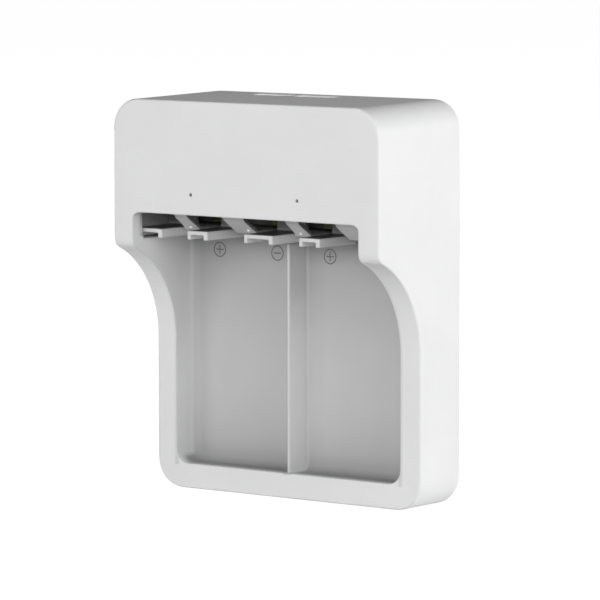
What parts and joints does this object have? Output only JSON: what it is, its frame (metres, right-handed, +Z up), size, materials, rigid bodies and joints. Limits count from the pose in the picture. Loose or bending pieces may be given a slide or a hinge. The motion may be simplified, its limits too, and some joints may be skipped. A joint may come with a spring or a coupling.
{
  "type": "nine volt block battery charger",
  "caption": "White moulded desk charger for nine volt block batteries, with open bays under a hooked head, sprung contact rails and charging inputs in its top.",
  "frame": {"origin": "middle of the flat base that the charger stands on", "axes": "+X to the right seen from the front, +Y to the back, +Z up; the bays face -Y"},
  "size_m": [0.0662, 0.0276, 0.0809],
  "materials": {
    "white_plastic": "fine satin moulding",
    "dark_plastic": "matt",
    "spring_steel": "bright drawn wire",
    "nickel": "nickel plated sheet",
    "board": "solder mask",
    "clear_plastic": "clear",
    "grey_plastic": "ribbon",
    "aluminium": "drawn can"
  },
  "bodies": {
    "charger_body": {"front_housing": "white_plastic", "rear_cover": "white_plastic", "rail_guide": "dark_plastic", "left_plus_terminal": "nickel", "left_minus_terminal": "nickel", "right_plus_terminal": "nickel", "right_minus_terminal": "nickel", "left_plus_spring": "spring_steel", "left_minus_spring": "spring_steel", "right_plus_spring": "spring_steel", "right_minus_spring": "spring_steel", "cover_screw_1": "spring_steel", "cover_screw_2": "spring_steel", "cover_screw_3": "spring_steel", "cover_screw_4": "spring_steel", "base_weight": "spring_steel", "usb_c_shell": "spring_steel", "micro_usb_shell": "spring_steel", "usb_c_tongue": "dark_plastic", "micro_usb_tongue": "dark_plastic", "circuit_board": "board", "light_board": "board", "light_ribbon": "grey_plastic", "left_light": "clear_plastic", "right_light": "clear_plastic", "left_light_pipe": "clear_plastic", "right_light_pipe": "clear_plastic", "left_charge_chip": "dark_plastic", "right_charge_chip": "dark_plastic", "left_inductor": "dark_plastic", "right_inductor": "dark_plastic", "left_capacitor": "aluminium", "right_capacitor": "aluminium"},
    "left_plus_slider": {"left_plus_rail": "white_plastic", "left_plus_contact": "nickel"},
    "left_minus_slider": {"left_minus_rail": "white_plastic", "left_minus_contact": "nickel"},
    "right_plus_slider": {"right_plus_rail": "white_plastic", "right_plus_contact": "nickel"},
    "right_minus_slider": {"right_minus_rail": "white_plastic", "right_minus_contact": "nickel"}
  },
  "joints": [
    {"name": "left_plus_lift", "type": "slide", "parent": "charger_body", "child": "left_plus_slider", "axis": [0, 0, 1], "range_m": [0, 0.002], "stiffness_N_per_m": 400, "springref_m": -0.002, "deforming": ["left_plus_spring"]},
    {"name": "left_minus_lift", "type": "slide", "parent": "charger_body", "child": "left_minus_slider", "axis": [0, 0, 1], "range_m": [0, 0.002], "stiffness_N_per_m": 400, "springref_m": -0.002, "deforming": ["left_minus_spring"]},
    {"name": "right_plus_lift", "type": "slide", "parent": "charger_body", "child": "right_plus_slider", "axis": [0, 0, 1], "range_m": [0, 0.002], "stiffness_N_per_m": 400, "springref_m": -0.002, "deforming": ["right_plus_spring"]},
    {"name": "right_minus_lift", "type": "slide", "parent": "charger_body", "child": "right_minus_slider", "axis": [0, 0, 1], "range_m": [0, 0.002], "stiffness_N_per_m": 400, "springref_m": -0.002, "deforming": ["right_minus_spring"]}
  ]
}
